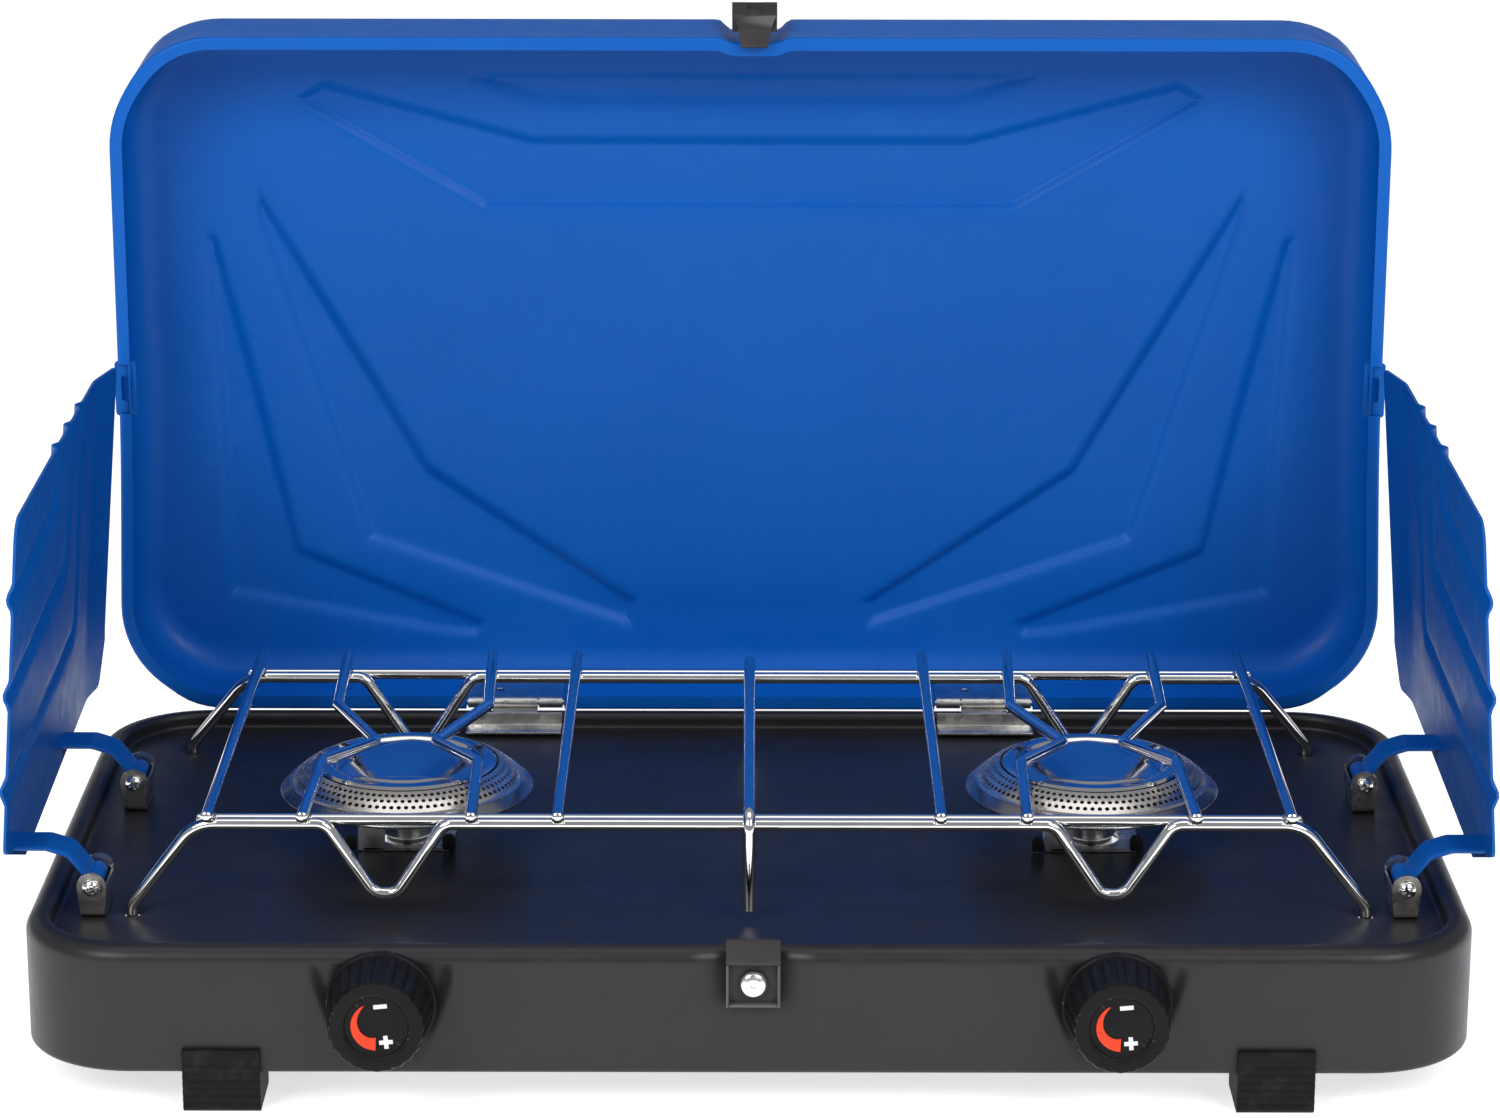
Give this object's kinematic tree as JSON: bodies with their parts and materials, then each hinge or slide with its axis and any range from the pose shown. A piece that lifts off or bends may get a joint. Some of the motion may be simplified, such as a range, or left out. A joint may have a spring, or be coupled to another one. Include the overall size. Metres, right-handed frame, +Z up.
{
  "type": "two-burner camp stove",
  "caption": "Folding two-burner propane camp stove: lidded steel case, lift-off wire grate, side windscreens, burners, gas knobs and a lid latch.",
  "frame": {"origin": "on the surface that the feet stand on, under the middle of the whole open stove's box", "axes": "+X to the right as the cook faces the knobs, +Y to the back where the lid is hinged, +Z up"},
  "size_m": [0.5282, 0.3302, 0.3437],
  "materials": {
    "blue_paint": "fine-texture powder coat",
    "charcoal_paint": "satin enamel",
    "chrome_wire": "bright nickel-chrome plate",
    "mirror_steel": "polished stainless sheet",
    "zinc_steel": "zinc-plated sheet",
    "brass": "machined",
    "aluminium": "bright rivet",
    "black_plastic": "fine moulded texture",
    "black_rubber": "matte"
  },
  "bodies": {
    "base": {"base_shell": "charcoal_paint", "latch_catch": "black_plastic", "catch_rivet": "aluminium", "gas_manifold": "zinc_steel", "inlet_fitting": "brass", "foot_front_left": "black_rubber", "foot_front_right": "black_rubber", "foot_rear_left": "black_rubber", "foot_rear_right": "black_rubber", "hinge_leaf_base_left": "zinc_steel", "hinge_leaf_base_right": "zinc_steel", "hinge_pin_left": "zinc_steel", "hinge_pin_right": "zinc_steel", "valve_body_left": "brass", "valve_body_right": "brass", "venturi_tube_left": "zinc_steel", "venturi_tube_right": "zinc_steel", "burner_bracket_left": "zinc_steel", "burner_bracket_right": "zinc_steel", "burner_base_left": "mirror_steel", "burner_base_right": "mirror_steel", "burner_ring_left": "mirror_steel", "burner_ring_right": "mirror_steel", "burner_cap_left": "mirror_steel", "burner_cap_right": "mirror_steel", "windscreen_bracket_front_left": "zinc_steel", "windscreen_bracket_front_right": "zinc_steel", "windscreen_bracket_rear_left": "zinc_steel", "windscreen_bracket_rear_right": "zinc_steel", "windscreen_screw_front_left": "zinc_steel", "windscreen_screw_front_right": "zinc_steel", "windscreen_screw_rear_left": "zinc_steel", "windscreen_screw_rear_right": "zinc_steel"},
    "grate": {"grate_front_wire": "chrome_wire", "grate_rear_wire": "chrome_wire", "grate_front_bar": "chrome_wire", "grate_rear_bar": "chrome_wire", "grate_wire_middle": "chrome_wire", "grate_wire_end_left": "chrome_wire", "grate_wire_end_right": "chrome_wire", "grate_wire_outer_left": "chrome_wire", "grate_wire_outer_right": "chrome_wire", "grate_wire_inner_left": "chrome_wire", "grate_wire_inner_right": "chrome_wire", "grate_wire_straight_left": "chrome_wire", "grate_wire_straight_right": "chrome_wire"},
    "lid": {"lid_shell": "blue_paint", "hinge_leaf_lid_left": "zinc_steel", "hinge_leaf_lid_right": "zinc_steel", "windscreen_clip_left": "blue_paint", "windscreen_clip_right": "blue_paint", "latch_bracket": "zinc_steel", "latch_pin": "zinc_steel"},
    "latch": {"latch_lever": "black_plastic"},
    "windscreen_left": {"windscreen_left": "blue_paint"},
    "windscreen_right": {"windscreen_right": "blue_paint"},
    "knob_left": {"knob_left": "black_plastic", "valve_stem_left": "brass"},
    "knob_right": {"knob_right": "black_plastic", "valve_stem_right": "brass"}
  },
  "joints": [
    {"name": "lid_hinge", "type": "hinge", "parent": "base", "child": "lid", "pos_m": [0, 0.1256, 0.0625], "axis": [1, 0, 0], "range_deg": [0, 78]},
    {"name": "windscreen_left_fold", "type": "hinge", "parent": "base", "child": "windscreen_left", "pos_m": [-0.2328, -0.0071, 0.065], "axis": [0, 1, 0], "range_deg": [0, 85]},
    {"name": "windscreen_right_fold", "type": "hinge", "parent": "base", "child": "windscreen_right", "pos_m": [0.2328, -0.0071, 0.065], "axis": [0, -1, 0], "range_deg": [0, 85]},
    {"name": "knob_left_turn", "type": "hinge", "parent": "base", "child": "knob_left", "pos_m": [-0.127, -0.1651, 0.041], "axis": [0, -1, 0], "range_deg": [0, 270]},
    {"name": "knob_right_turn", "type": "hinge", "parent": "base", "child": "knob_right", "pos_m": [0.127, -0.1651, 0.041], "axis": [0, -1, 0], "range_deg": [0, 270]},
    {"name": "latch_swing", "type": "hinge", "parent": "lid", "child": "latch", "pos_m": [0.0015, 0.1389, 0.3347], "axis": [-1, 0, 0], "range_deg": [0, 100]},
    {"name": "grate_lift", "type": "slide", "parent": "base", "child": "grate", "axis": [0, 0, -1], "range_m": [-0.06, 0]}
  ]
}
